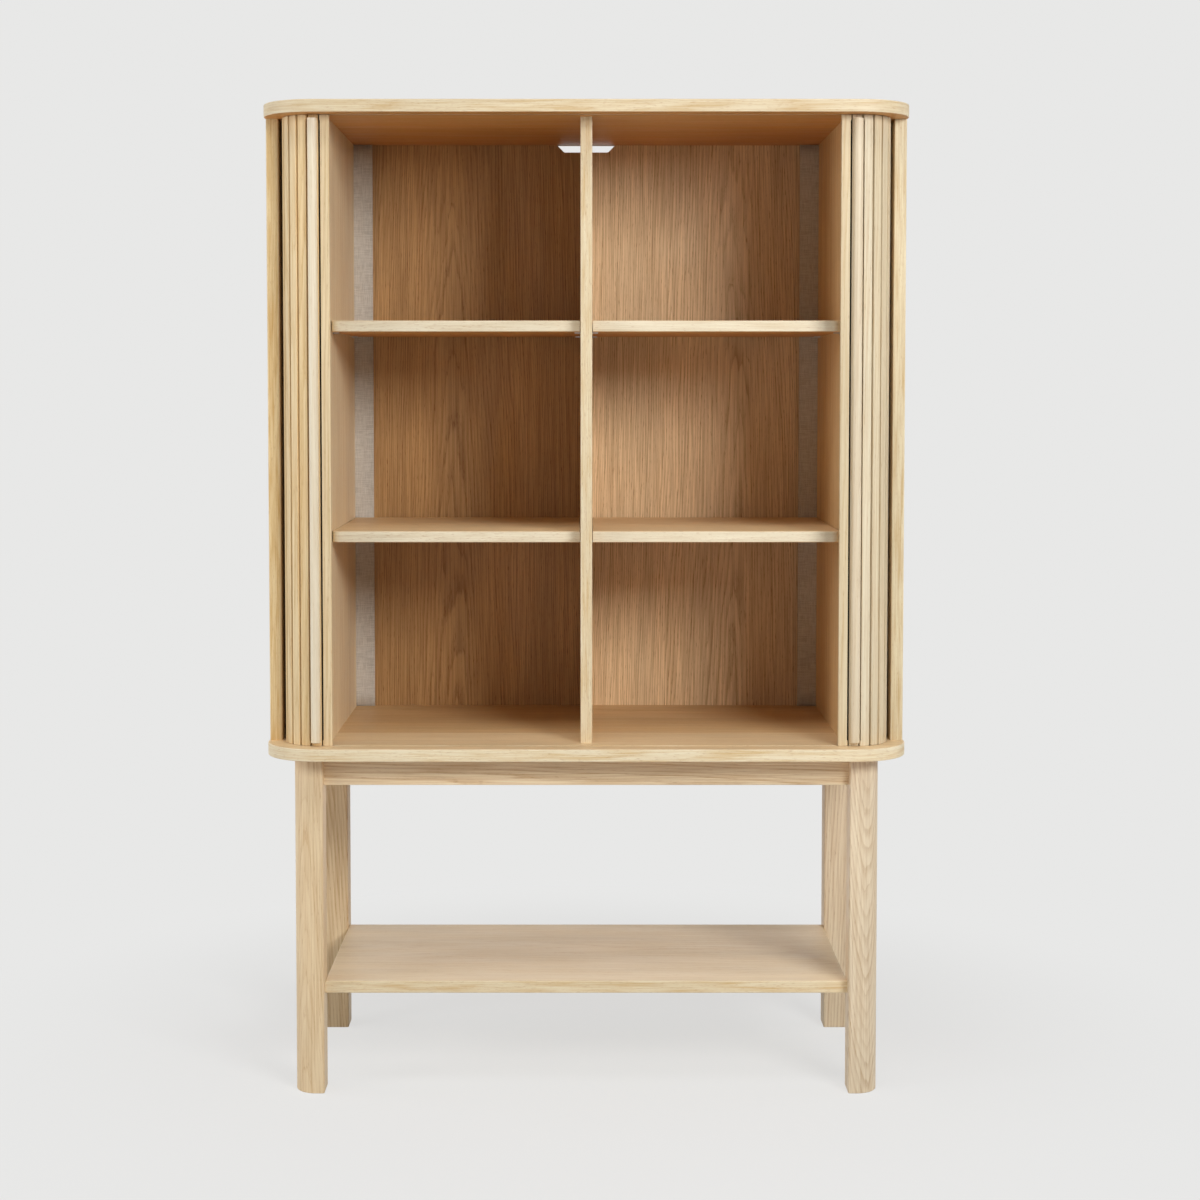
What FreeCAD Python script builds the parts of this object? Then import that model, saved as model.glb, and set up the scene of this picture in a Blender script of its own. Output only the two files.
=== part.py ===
import FreeCAD, Part
import os
import re

import Sketcher

# Pocket door cabinet: an oak carcass with two tambour doors that run in routed tracks round the
# front corners and into pockets beside the bays, on a leg frame with an open lower shelf.
#
# Frame: millimetres, +Z up, X to the right, the front faces -Y. The origin is on the floor under the
# middle of the top panel. Lengths measured back from the panels' front edge are called setbacks.

doc = FreeCAD.newDocument("pocket_door_cabinet")


# ---------------------------------------------------------------- driving dimensions

SIZES = [
    # the two outer panels and the room between them
    ("cabinet_width", 980),
    ("cabinet_depth", 470),
    ("panel_thickness", 19),
    ("inner_height", 952),
    ("front_corner_radius", 86),
    ("rear_corner_radius", 4),
    ("edge_round", 1.5),
    # side panels
    ("side_thickness", 19),
    ("side_inset", 2),
    ("side_setback", 86),
    ("side_edge_round", 2),
    # pocket liners, divider and shelves
    ("pocket_room", 77),
    ("liner_thickness", 17),
    ("liner_setback", 60),
    ("liner_rear_gap", 2.6),
    ("divider_thickness", 18),
    ("shelf_thickness", 17),
    ("shelf_setback", 88),
    ("shelf_rear_gap", 4),
    ("shelf_end_gap", 1),
    ("shelf_corner_radius", 13),
    # back panel, held in a groove all round
    ("back_thickness", 8),
    ("back_inset", 6),
    ("back_groove_depth", 5),
    ("back_clearance", 0.3),
    ("cable_notch_width", 98),
    ("cable_notch_slant", 12),
    ("cable_notch_height", 12),
    ("cable_notch_round", 4),
    # tambour doors and their track
    ("door_setback", 30.3),
    ("canvas_radius", 46),
    ("pocket_gap", 7),
    ("rear_run_gap", 2.4),
    ("slat_width", 13.5),
    ("slat_thickness", 8),
    ("slat_pitch", 14.5),
    ("slat_bevel", 0.8),
    ("slat_end_gap", 0.6),
    ("tongue_width", 8),
    ("tongue_thickness", 4.4),
    ("tongue_length", 6),
    ("track_width", 5.6),
    ("track_depth", 7),
    ("track_end_room", 1),
    ("stile_width", 14.5),
    ("stile_gap", 1.8),
    ("handle_slat_width", 14.2),
    ("handle_gap", 0.6),
    ("finger_slat_width", 14.7),
    ("pull_width", 14.2),
    ("pull_nose_flat", 0.2),
    ("pull_projection", 9.6),
    ("pull_shift", 1.6),
    ("pull_end_gap", 6),
    ("finger_relief", 1.2),
    ("finger_relief_end", 8),
    ("canvas_thickness", 1),
    ("canvas_gap", 0.1),
    ("canvas_edge", 1.5),
    ("left_front_run", 22.6),
    ("right_front_run", 25.9),
    ("canvas_reveal", 31.6),
    # leg frame
    ("leg_height", 520),
    ("leg_width", 46),
    ("leg_side_inset", 42),
    ("leg_front_inset", 40),
    ("leg_rear_inset", 38),
    ("leg_corner_radius", 33),
    ("leg_edge_round", 3),
    ("apron_height", 46),
    ("apron_thickness", 20),
    ("front_apron_inset", 20),
    ("side_apron_inset", 16),
    ("lower_shelf_top", 170),
    ("lower_shelf_thickness", 19),
    ("lower_shelf_inset", 20),
    ("brace_reach", 60),
    ("brace_thickness", 22),
    # fasteners
    ("dowel_diameter", 8),
    ("dowel_length", 30),
    ("dowel_depth", 12),
    ("dowel_margin", 40),
    ("dowel_clearance", 0.1),
    ("pin_diameter", 5),
    ("pin_depth", 7.5),
    ("pin_tab_length", 9),
    ("pin_tab_width", 9),
    ("pin_tab_thickness", 2),
    ("pin_front_inset", 43),
    ("pin_rear_inset", 30),
    ("screw_diameter", 4),
    ("screw_length", 36),
    ("screw_head_diameter", 8),
    ("screw_head_height", 2.5),
    ("screw_inset", 22),
]

# Sizes that follow from the ones above, in the order in which they are worked out.
DERIVED = [
    ("front_edge", "-cabinet_depth / 2"),
    ("rear_edge", "cabinet_depth / 2"),
    ("bay_floor", "leg_height + panel_thickness"),
    ("bay_ceiling", "bay_floor + inner_height"),
    ("side_outer", "cabinet_width / 2 - side_inset"),
    ("side_inner", "side_outer - side_thickness"),
    ("bay_half_width", "side_inner - pocket_room"),
    ("liner_outer", "bay_half_width + liner_thickness"),
    ("door_rear_edge", "bay_half_width - canvas_reveal"),
    ("back_rear", "rear_edge - back_inset"),
    ("back_front", "back_rear - back_thickness"),
    ("canvas_rear", "back_front - rear_run_gap - slat_thickness"),
    ("liner_rear", "canvas_rear - liner_rear_gap"),
    ("shelf_rear", "canvas_rear - shelf_rear_gap"),
    ("shelf_space", "(inner_height - 2 * shelf_thickness) / 3"),
    ("arc_centre", "side_inner - pocket_gap - slat_thickness - canvas_radius"),
    ("left_door_edge", "arc_centre - left_front_run"),
    ("right_door_edge", "arc_centre - right_front_run"),
    ("front_arc", "front_edge + door_setback + slat_thickness + canvas_radius"),
    ("rear_arc", "canvas_rear - canvas_radius"),
    ("track_radius", "canvas_radius + slat_thickness / 2"),
    ("quarter_turn", "canvas_radius * pi / 2"),
    ("side_run", "rear_arc - front_arc"),
    ("slat_angle", "slat_pitch / canvas_radius * 180 / pi"),
    ("slat_floor", "bay_floor + slat_end_gap"),
    ("slat_length", "inner_height - 2 * slat_end_gap"),
    ("handle_start", "stile_width + stile_gap"),
    ("lead_length", "handle_start + handle_slat_width"),
    ("finger_slat", "lead_length + handle_gap + finger_slat_width / 2"),
    ("first_slat", "finger_slat + (finger_slat_width - slat_width) / 2 + slat_pitch"),
    ("leg_outer", "cabinet_width / 2 - leg_side_inset"),
    ("leg_inner", "leg_outer - leg_width"),
    ("leg_front", "front_edge + leg_front_inset"),
    ("leg_rear", "rear_edge - leg_rear_inset"),
    ("apron_floor", "leg_height - apron_height"),
    ("front_apron_face", "leg_front + front_apron_inset"),
    ("rear_apron_face", "leg_rear - front_apron_inset"),
    ("side_apron_face", "leg_outer - side_apron_inset"),
    ("lower_shelf_front", "leg_front + lower_shelf_inset"),
    ("lower_shelf_rear", "leg_rear - lower_shelf_inset"),
]

# Where each door's slats fall: how far the first slat on each stretch of track is past the start of
# that stretch, and how many slats lie on it. "front_run" is the part of the door on the straight front.
DOOR_DERIVED = [
    ("front_turn_start", "first_slat - front_run"),
    ("front_turn_count", "floor((quarter_turn - front_turn_start) / slat_pitch) + 1"),
    ("side_run_start", "front_turn_start + front_turn_count * slat_pitch - quarter_turn"),
    ("side_run_count", "floor((side_run - side_run_start) / slat_pitch) + 1"),
    ("rear_turn_start", "side_run_start + side_run_count * slat_pitch - side_run"),
    ("rear_turn_count", "floor((quarter_turn - rear_turn_start) / slat_pitch) + 1"),
    ("rear_run_start", "rear_turn_start + rear_turn_count * slat_pitch - quarter_turn"),
    (
        "rear_run_count",
        "floor((arc_centre - door_rear_edge - rear_run_start - slat_width / 2) / slat_pitch) + 1",
    ),
]

SIDES = [("left", -1), ("right", 1)]


def make_sheet():
    """Spreadsheet of the driving dimensions, one alias each."""
    sheet = doc.addObject("Spreadsheet::Sheet", "Sizes")
    for row, (alias, size) in enumerate(SIZES, start=1):
        sheet.set(f"A{row}", alias.replace("_", " "))
        sheet.set(f"B{row}", str(size))
        sheet.setAlias(f"B{row}", alias)


def qualify(text):
    """The expression with the sheet's and the layout's names written in full."""

    def full_name(match):
        word = match.group(0)
        if word in sheet_names:
            return f"Sizes.{word}"
        if word in layout_names:
            return f"Layout.{word}"
        return word

    return re.sub(r"[a-z][a-z_]*", full_name, text)


def add_derived(name, text):
    """One more named value on the layout."""
    layout.addProperty("App::PropertyFloat", name)
    layout.setExpression(name, qualify(text))
    layout_names.add(name)


make_sheet()
sheet_names = {alias for alias, size in SIZES}
layout = doc.addObject("App::VarSet", "Layout")
layout_names = set()
doc.recompute()

for derived_name, derived_text in DERIVED:
    add_derived(derived_name, derived_text)
for side, sign in SIDES:
    for derived_name, derived_text in DOOR_DERIVED:
        own_text = derived_text.replace("front_run", f"{side}_front_run")
        for stretch in ("front_turn", "side_run", "rear_turn", "rear_run"):
            own_text = re.sub(rf"\b{stretch}_(start|count)", rf"{side}_{stretch}_\1", own_text)
        add_derived(f"{side}_{derived_name}", own_text)
doc.recompute()


# ---------------------------------------------------------------- helpers


def bind(thing, property_name, text):
    """Tie a property to an expression on the sheet."""
    thing.setExpression(property_name, qualify(text))


def value(text):
    """The number that an expression on the sheet gives now."""
    return float(layout.evalExpression(qualify(text)))


def place(thing, x="0", y="0", z="0", turn="0"):
    """Tie a placement to the sheet; turn is in degrees about +Z."""
    bind(thing, "Placement.Base.x", x)
    bind(thing, "Placement.Base.y", y)
    bind(thing, "Placement.Base.z", z)
    if turn != "0":
        thing.Placement.Rotation.Axis = FreeCAD.Vector(0, 0, 1)
        bind(thing, "Placement.Rotation.Angle", turn)


def make_body(name):
    body = doc.addObject("PartDesign::Body", name)
    body.Label = name
    body.AllowCompound = True
    return body


def make_outline(body, name, points, plane="XY_Plane", lift="0"):
    """Closed sketch through points given as pairs of expressions."""
    sketch = body.newObject("Sketcher::SketchObject", name)
    origin_plane = next(item for item in body.Origin.OriginFeatures if item.Role == plane)
    sketch.AttachmentSupport = [(origin_plane, "")]
    sketch.MapMode = "FlatFace"
    bind(sketch, "AttachmentOffset.Base.z", lift)
    corners = [FreeCAD.Vector(value(x), value(y), 0) for x, y in points]
    for index, corner in enumerate(corners):
        following = corners[(index + 1) % len(corners)]
        sketch.addGeometry(Part.LineSegment(corner, following), False)
    for index, (x, y) in enumerate(points):
        before = (index - 1) % len(points)
        sketch.addConstraint(Sketcher.Constraint("Coincident", before, 2, index, 1))
        across = Sketcher.Constraint("DistanceX", -1, 1, index, 1, corners[index].x)
        bind(sketch, f"Constraints[{sketch.addConstraint(across)}]", x)
        along = Sketcher.Constraint("DistanceY", -1, 1, index, 1, corners[index].y)
        bind(sketch, f"Constraints[{sketch.addConstraint(along)}]", y)
    return sketch


def make_pad(body, name, sketch, length):
    pad = body.newObject("PartDesign::Pad", name)
    pad.Profile = sketch
    bind(pad, "Length", length)
    doc.recompute()
    return pad


def round_edges(body, name, wanted, radius):
    """Round the edges of the body's tip for which wanted(edge) is true."""
    base = body.Tip
    names = [f"Edge{n}" for n, edge in enumerate(base.Shape.Edges, start=1) if wanted(edge)]
    fillet = body.newObject("PartDesign::Fillet", name)
    fillet.Base = (base, names)
    bind(fillet, "Radius", radius)
    body.Tip = fillet
    doc.recompute()
    return fillet


def upright_at(*spots):
    """Test for an upright edge above one of the (x, y) spots."""

    def wanted(edge):
        ends = [vertex.Point for vertex in edge.Vertexes]
        if len(ends) != 2 or abs(ends[0].z - ends[1].z) < 1:
            return False
        return any(
            all(abs(end.x - x) < 0.01 and abs(end.y - y) < 0.01 for end in ends) for x, y in spots
        )

    return wanted


def level_at(*heights):
    """Test for an edge that lies flat at one of the heights."""

    def wanted(edge):
        box = edge.BoundBox
        if box.ZLength > 0.01:
            return False
        return any(abs(box.ZMin - height) < 0.01 for height in heights)

    return wanted


def make_board(name, x, y, z):
    """Board between pairs of expressions along X, Y and Z, as a padded rectangle."""
    body = make_body(name)
    length = f"{x[1]} - ({x[0]})"
    depth = f"{y[1]} - ({y[0]})"
    corners = [("0", "0"), (length, "0"), (length, depth), ("0", depth)]
    sketch = make_outline(body, f"{name}_outline", corners)
    make_pad(body, f"{name}_pad", sketch, f"{z[1]} - ({z[0]})")
    place(body, x[0], y[0], z[0])
    return body


def round_board(body, radius="edge_round"):
    """Break the long level edges of a board."""
    box = body.Tip.Shape.BoundBox
    return round_edges(body, f"{body.Name}_edges", level_at(box.ZMin, box.ZMax), radius)


def make_box(name, x, y, z):
    """Plain block between pairs of expressions, used as a tool."""
    box = doc.addObject("Part::Box", name)
    bind(box, "Length", f"{x[1]} - ({x[0]})")
    bind(box, "Width", f"{y[1]} - ({y[0]})")
    bind(box, "Height", f"{z[1]} - ({z[0]})")
    place(box, x[0], y[0], z[0])
    return box


def make_cylinder(name, axis, centre, length, diameter):
    """Cylinder centred on a point, along axis X, Y or Z."""
    rod = doc.addObject("Part::Cylinder", name)
    bind(rod, "Radius", f"({diameter}) / 2")
    bind(rod, "Height", length)
    turns = {"X": (0, 1, 0), "Y": (-1, 0, 0), "Z": (0, 0, 1)}
    angle = 0 if axis == "Z" else 90
    rod.Placement.Rotation = FreeCAD.Rotation(FreeCAD.Vector(*turns[axis]), angle)
    start = list(centre)
    start["XYZ".index(axis)] += f" - ({length}) / 2"
    place(rod, *start)
    return rod


def make_ring_quarter(name, x, y, z, radii, turn, angle):
    """Part of an upright ring: radii (inner, outer), from turn degrees through angle degrees."""
    discs = []
    for kind, radius in zip(("inner", "outer"), radii):
        disc = doc.addObject("Part::Cylinder", f"{name}_{kind}")
        bind(disc, "Radius", radius)
        bind(disc, "Height", f"{z[1]} - ({z[0]})")
        bind(disc, "Angle", angle)
        place(disc, x, y, z[0], turn)
        discs.append(disc)
    return make_cut(name, discs[1], discs[0])


def make_cut(name, base, tool):
    cut = doc.addObject("Part::Cut", name)
    cut.Label = name
    cut.Base = base
    cut.Tool = tool
    return cut


def make_group(name, shapes, kind="Part::Compound"):
    """Separate solids under one name, or one solid where kind is Part::MultiFuse."""
    group = doc.addObject(kind, name)
    group.Label = name
    if kind == "Part::Compound":
        group.Links = shapes
    else:
        group.Shapes = shapes
    return group


# ---------------------------------------------------------------- dowels and screws

BAY_HEIGHT = ("bay_floor", "bay_ceiling")


def make_pegs(name, spots, length, diameter, clearance):
    """A group of pegs and a group of the holes that they fit, from (axis, centre) spots."""
    pegs = []
    holes = []
    for number, (axis, centre) in enumerate(spots, start=1):
        hole_length = f"{length} + 2 * {clearance}"
        hole_diameter = f"{diameter} + 2 * {clearance}"
        pegs.append(make_cylinder(f"{name}_{number}", axis, centre, length, diameter))
        holes.append(make_cylinder(f"{name}_hole_{number}", axis, centre, hole_length, hole_diameter))
    return make_group(name, pegs), make_group(f"{name}_holes", holes)


def carcass_spots():
    """Three upright dowels at each end of each upright board."""
    spots = []
    boards = [
        ("0", "front_edge + liner_setback", "liner_rear"),
        ("bay_half_width + liner_thickness / 2", "front_edge + liner_setback", "liner_rear"),
        ("-(bay_half_width + liner_thickness / 2)", "front_edge + liner_setback", "liner_rear"),
        ("side_outer - side_thickness / 2", "front_edge + side_setback", "back_front"),
        ("-(side_outer - side_thickness / 2)", "front_edge + side_setback", "back_front"),
    ]
    heights = [
        "bay_floor - dowel_depth + dowel_length / 2",
        "bay_ceiling + dowel_depth - dowel_length / 2",
    ]
    for x, front, rear in boards:
        for y in (f"{front} + dowel_margin", f"(({front}) + ({rear})) / 2", f"{rear} - dowel_margin"):
            for z in heights:
                spots.append(("Z", (x, y, z)))
    return spots


def apron_spots():
    """Two dowels at each end of each apron, level with the other apron's gaps."""
    spots = []
    reach = "dowel_depth - dowel_length / 2"
    for sign in ("", "-"):
        for y in ("front_apron_face + apron_thickness / 2", "rear_apron_face - apron_thickness / 2"):
            for drop in ("0.25", "0.75"):
                x = f"{sign}(leg_inner + {reach})"
                spots.append(("X", (x, y, f"apron_floor + apron_height * {drop}")))
        for y in (f"leg_front + leg_width - ({reach})", f"leg_rear - leg_width + ({reach})"):
            for drop in ("0.12", "0.5"):
                x = f"{sign}(side_apron_face - apron_thickness / 2)"
                spots.append(("Y", (x, y, f"apron_floor + apron_height * {drop}")))
    return spots


def lower_shelf_spots():
    """One dowel from each leg into the lower shelf."""
    spots = []
    rows = [
        "(lower_shelf_front + leg_front + leg_width) / 2",
        "(lower_shelf_rear + leg_rear - leg_width) / 2",
    ]
    for sign in ("", "-"):
        x = f"{sign}(leg_inner + dowel_depth - dowel_length / 2)"
        for y in rows:
            spots.append(("X", (x, y, "lower_shelf_top - lower_shelf_thickness / 2")))
    return spots


DOWEL = ("dowel_length", "dowel_diameter", "dowel_clearance")
carcass_dowels, carcass_holes = make_pegs("carcass_dowels", carcass_spots(), *DOWEL)
apron_dowels, apron_holes = make_pegs("apron_dowels", apron_spots(), *DOWEL)
shelf_dowels, shelf_dowel_holes = make_pegs("lower_shelf_dowels", lower_shelf_spots(), *DOWEL)


# ---------------------------------------------------------------- track and grooves

TRACK_RADII = ("track_radius - track_width / 2", "track_radius + track_width / 2")
TRACK_HEIGHT = ("bay_floor - track_depth", "bay_ceiling + track_depth")


def make_track():
    """The doors' way: one upright shell that cuts the track into both panels."""
    near, far = "front_arc - track_radius", "rear_arc + track_radius"
    half = "track_width / 2"
    pieces = [
        make_box(
            "track_front",
            ("-arc_centre", "arc_centre"),
            (f"{near} - {half}", f"{near} + {half}"),
            TRACK_HEIGHT,
        )
    ]
    for side, sign in SIDES:
        middle = "-" if sign < 0 else ""
        side_line = f"{sign} * (arc_centre + track_radius)"
        side_x = (f"{side_line} - {half}", f"{side_line} + {half}")
        pieces.append(make_box(f"track_{side}", side_x, ("front_arc", "rear_arc"), TRACK_HEIGHT))
        ends = [f"{middle}(door_rear_edge - track_end_room)", f"{middle}arc_centre"]
        rear_x = ends if sign > 0 else ends[::-1]
        rear_y = (f"{far} - {half}", f"{far} + {half}")
        pieces.append(make_box(f"track_rear_{side}", rear_x, rear_y, TRACK_HEIGHT))
        corners = [
            ("front", "front_arc", "180" if sign < 0 else "270"),
            ("rear", "rear_arc", "90" if sign < 0 else "0"),
        ]
        for end, y, turn in corners:
            arc_x = f"{middle}arc_centre"
            name = f"track_{end}_turn_{side}"
            pieces.append(make_ring_quarter(name, arc_x, y, TRACK_HEIGHT, TRACK_RADII, turn, "90"))
    return make_group("track_way", pieces, "Part::MultiFuse")


def make_back_groove():
    """Groove for the back panel in the two sides and the two panels."""
    reach = "side_inner + back_groove_depth"
    return make_box(
        "back_groove",
        (f"-({reach})", reach),
        ("back_front - back_clearance", "back_rear + back_clearance"),
        ("bay_floor - back_groove_depth", "bay_ceiling + back_groove_depth"),
    )


track_way = make_track()
back_groove = make_back_groove()


# ---------------------------------------------------------------- corner braces and their screws


def brace_corner(sign_x, sign_y):
    """Outline of the block that ties a leg's two aprons, in the cabinet's frame."""
    x = "" if sign_x > 0 else "-"
    apron = "front_apron_face + apron_thickness" if sign_y < 0 else "rear_apron_face - apron_thickness"
    leg = "leg_front + leg_width" if sign_y < 0 else "leg_rear - leg_width"
    inwards = "+" if sign_y < 0 else "-"
    side = "side_apron_face - apron_thickness"
    return [
        (f"{x}(leg_inner - brace_reach)", apron),
        (f"{x}leg_inner", apron),
        (f"{x}leg_inner", leg),
        (f"{x}({side})", leg),
        (f"{x}({side})", f"{leg} {inwards} brace_reach"),
    ]


def screw_spots():
    spots = []
    for sign in ("", "-"):
        x = f"{sign}(leg_inner - screw_inset)"
        for y in ("leg_front + leg_width + screw_inset / 2", "leg_rear - leg_width - screw_inset / 2"):
            spots.append((x, y))
    return spots


def make_screws():
    """Screws that hold the leg frame to the bottom panel, and the holes that they pass through."""
    screws = []
    holes = []
    foot = "leg_height - brace_thickness - screw_head_height"
    for number, (x, y) in enumerate(screw_spots(), start=1):
        shank_z = f"{foot} + screw_head_height + screw_length / 2"
        name = f"base_screw_{number}"
        shank = make_cylinder(f"{name}_shank", "Z", (x, y, shank_z), "screw_length", "screw_diameter")
        head_z = f"{foot} + screw_head_height / 2"
        head_size = ("screw_head_height", "screw_head_diameter")
        head = make_cylinder(f"{name}_head", "Z", (x, y, head_z), *head_size)
        screws.append(make_group(name, [shank, head], "Part::MultiFuse"))
        room = "screw_length + 2 * dowel_clearance"
        bore = "screw_diameter + 2 * dowel_clearance"
        holes.append(make_cylinder(f"{name}_hole", "Z", (x, y, shank_z), room, bore))
    return make_group("base_screws", screws), make_group("base_screw_holes", holes)


base_screws, base_screw_holes = make_screws()
brace_blocks = []
for sign_x in (-1, 1):
    for sign_y in (-1, 1):
        brace_name = f"brace_{'front' if sign_y < 0 else 'rear'}_{'left' if sign_x < 0 else 'right'}"
        brace = make_body(brace_name)
        brace_sketch = make_outline(brace, f"{brace_name}_outline", brace_corner(sign_x, sign_y))
        make_pad(brace, f"{brace_name}_pad", brace_sketch, "brace_thickness")
        place(brace, z="leg_height - brace_thickness")
        brace_blocks.append(brace)
braces_uncut = make_group("corner_braces_uncut", brace_blocks)
corner_braces = make_cut("corner_braces", braces_uncut, base_screw_holes)


# ---------------------------------------------------------------- top and bottom panels


def make_panel(name, z, extra_holes):
    """Outer panel with two large front corners, the track, the back groove and the dowel holes."""
    half = "cabinet_width / 2"
    uncut = make_board(f"{name}_uncut", (f"-{half}", half), ("front_edge", "rear_edge"), z)
    width, depth = value("cabinet_width"), value("cabinet_depth")
    front = upright_at((0, 0), (width, 0))
    rear = upright_at((0, depth), (width, depth))
    round_edges(uncut, f"{name}_front_corners", front, "front_corner_radius")
    round_edges(uncut, f"{name}_rear_corners", rear, "rear_corner_radius")
    round_board(uncut)
    cuts = [track_way, back_groove, carcass_holes] + extra_holes
    return make_cut(name, uncut, make_group(f"{name}_tools", cuts, "Part::MultiFuse"))


bottom_panel = make_panel("bottom_panel", ("leg_height", "bay_floor"), [base_screw_holes])
top_panel = make_panel("top_panel", ("bay_ceiling", "bay_ceiling + panel_thickness"), [])


# ---------------------------------------------------------------- upright boards


def pin_spots():
    """Where each shelf pin enters: the board's face, which way is into it, and its height."""
    spots = []
    heights = [f"bay_floor + {n} * shelf_space + {n - 1} * shelf_thickness" for n in (1, 2)]
    for shelf_underside in heights:
        for y in ("front_edge + shelf_setback + pin_front_inset", "shelf_rear - pin_rear_inset"):
            for face, inwards in (
                ("-bay_half_width", -1),
                ("-divider_thickness / 2", 1),
                ("divider_thickness / 2", -1),
                ("bay_half_width", 1),
            ):
                spots.append((face, inwards, y, shelf_underside))
    return spots


def make_shelf_pins():
    """Steel pins with a flat tab that the shelf lies on, and the blind holes for them."""
    pins = []
    holes = []
    for number, (face, inwards, y, top) in enumerate(pin_spots(), start=1):
        name = f"shelf_pin_{number}"
        z = f"{top} - pin_diameter / 2"
        centre = (f"{face} + {inwards} * pin_depth / 2", y, z)
        shank = make_cylinder(f"{name}_shank", "X", centre, "pin_depth", "pin_diameter")
        tab_ends = [face, f"{face} - {inwards} * pin_tab_length"]
        tab_x = tab_ends[::-1] if inwards > 0 else tab_ends
        tab_y = (f"{y} - pin_tab_width / 2", f"{y} + pin_tab_width / 2")
        tab = make_box(f"{name}_tab", tab_x, tab_y, (f"{top} - pin_tab_thickness", top))
        pins.append(make_group(name, [shank, tab], "Part::MultiFuse"))
        bore = "pin_diameter + 2 * dowel_clearance"
        room = "pin_depth + 2 * dowel_clearance"
        holes.append(make_cylinder(f"{name}_hole", "X", centre, room, bore))
    return make_group("shelf_pins", pins), make_group("shelf_pin_holes", holes)


shelf_pins, shelf_pin_holes = make_shelf_pins()
liner_holes = make_group("liner_holes", [carcass_holes, shelf_pin_holes], "Part::MultiFuse")

for side, sign in SIDES:
    outer, inner = f"{sign} * side_outer", f"{sign} * side_inner"
    side_x = (inner, outer) if sign > 0 else (outer, inner)
    side_y = ("front_edge + side_setback", "rear_edge")
    side_uncut = make_board(f"side_panel_{side}_uncut", side_x, side_y, BAY_HEIGHT)
    side_width = value("side_thickness")
    front_edges = upright_at((0, 0), (side_width, 0))
    round_edges(side_uncut, f"side_panel_{side}_front", front_edges, "side_edge_round")
    side_tools = make_group(f"side_panel_{side}_tools", [back_groove, carcass_holes], "Part::MultiFuse")
    make_cut(f"side_panel_{side}", side_uncut, side_tools)

    outer, inner = f"{sign} * liner_outer", f"{sign} * bay_half_width"
    liner_x = (inner, outer) if sign > 0 else (outer, inner)
    liner_y = ("front_edge + liner_setback", "liner_rear")
    liner_uncut = make_board(f"pocket_liner_{side}_uncut", liner_x, liner_y, BAY_HEIGHT)
    liner_width = value("liner_thickness")
    front_edges = upright_at((0, 0), (liner_width, 0))
    round_edges(liner_uncut, f"pocket_liner_{side}_front", front_edges, "edge_round")
    make_cut(f"pocket_liner_{side}", liner_uncut, liner_holes)

divider_x = ("-divider_thickness / 2", "divider_thickness / 2")
divider_y = ("front_edge + liner_setback", "back_front")
divider_uncut = make_board("centre_divider_uncut", divider_x, divider_y, BAY_HEIGHT)
divider_fronts = upright_at((0, 0), (value("divider_thickness"), 0))
round_edges(divider_uncut, "centre_divider_front", divider_fronts, "edge_round")
make_cut("centre_divider", divider_uncut, liner_holes)


def make_back_panel():
    """Thin back with a slanted cable notch in the middle of its top edge."""
    body = make_body("back_panel")
    half = "side_inner + back_groove_depth - back_clearance"
    low = "bay_floor - back_groove_depth + back_clearance"
    high = "bay_ceiling + back_groove_depth - back_clearance"
    notch_top, notch_low = "cable_notch_width / 2", "cable_notch_width / 2 - cable_notch_slant"
    notch_floor = "bay_ceiling - cable_notch_height"
    points = [
        (f"-({half})", low),
        (half, low),
        (half, high),
        (notch_top, high),
        (notch_top, "bay_ceiling"),
        (notch_low, notch_floor),
        (f"-({notch_low})", notch_floor),
        (f"-({notch_top})", "bay_ceiling"),
        (f"-({notch_top})", high),
        (f"-({half})", high),
    ]
    sketch = make_outline(body, "back_panel_outline", points, plane="XZ_Plane")
    make_pad(body, "back_panel_pad", sketch, "back_thickness")
    corner_x, corner_z = value(notch_low), value(notch_floor)

    def at_notch_floor(edge):
        box = edge.BoundBox
        level = box.XLength < 0.01 and box.ZLength < 0.01
        return level and abs(abs(box.XMin) - corner_x) < 0.01 and abs(box.ZMin - corner_z) < 0.01

    round_edges(body, "back_panel_notch", at_notch_floor, "cable_notch_round")
    place(body, y="back_rear")


make_back_panel()


# ---------------------------------------------------------------- shelves


def make_shelf(name, sign, number):
    """Loose shelf on four pins, with its front corner rounded where it meets the pocket liner."""
    near, far = "divider_thickness / 2 + shelf_end_gap", "bay_half_width - shelf_end_gap"
    x = (near, far) if sign > 0 else (f"-({far})", f"-({near})")
    y = ("front_edge + shelf_setback", "shelf_rear")
    underside = f"bay_floor + {number} * shelf_space + {number - 1} * shelf_thickness"
    shelf = make_board(name, x, y, (underside, f"{underside} + shelf_thickness"))
    length = value(f"{far} - ({near})")
    outer_corner = upright_at((length if sign > 0 else 0, 0))
    round_edges(shelf, f"{name}_corner", outer_corner, "shelf_corner_radius")
    round_board(shelf)
    return shelf


for side, sign in SIDES:
    make_shelf(f"shelf_lower_{side}", sign, 1)
    make_shelf(f"shelf_upper_{side}", sign, 2)


# ---------------------------------------------------------------- tambour doors


CANVAS_HEIGHT = ("slat_floor", "slat_floor + slat_length")


def slat_outline(width):
    """Section of a slat, standing off the canvas radius towards -Y, with its show edges bevelled."""
    half = f"{width} / 2"
    inner = "-canvas_radius"
    outer = "-(canvas_radius + slat_thickness)"
    return [
        (f"-{half}", inner),
        (f"-{half}", f"{outer} + slat_bevel"),
        (f"-{half} + slat_bevel", outer),
        (f"{half} - slat_bevel", outer),
        (half, f"{outer} + slat_bevel"),
        (half, inner),
    ]


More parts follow.
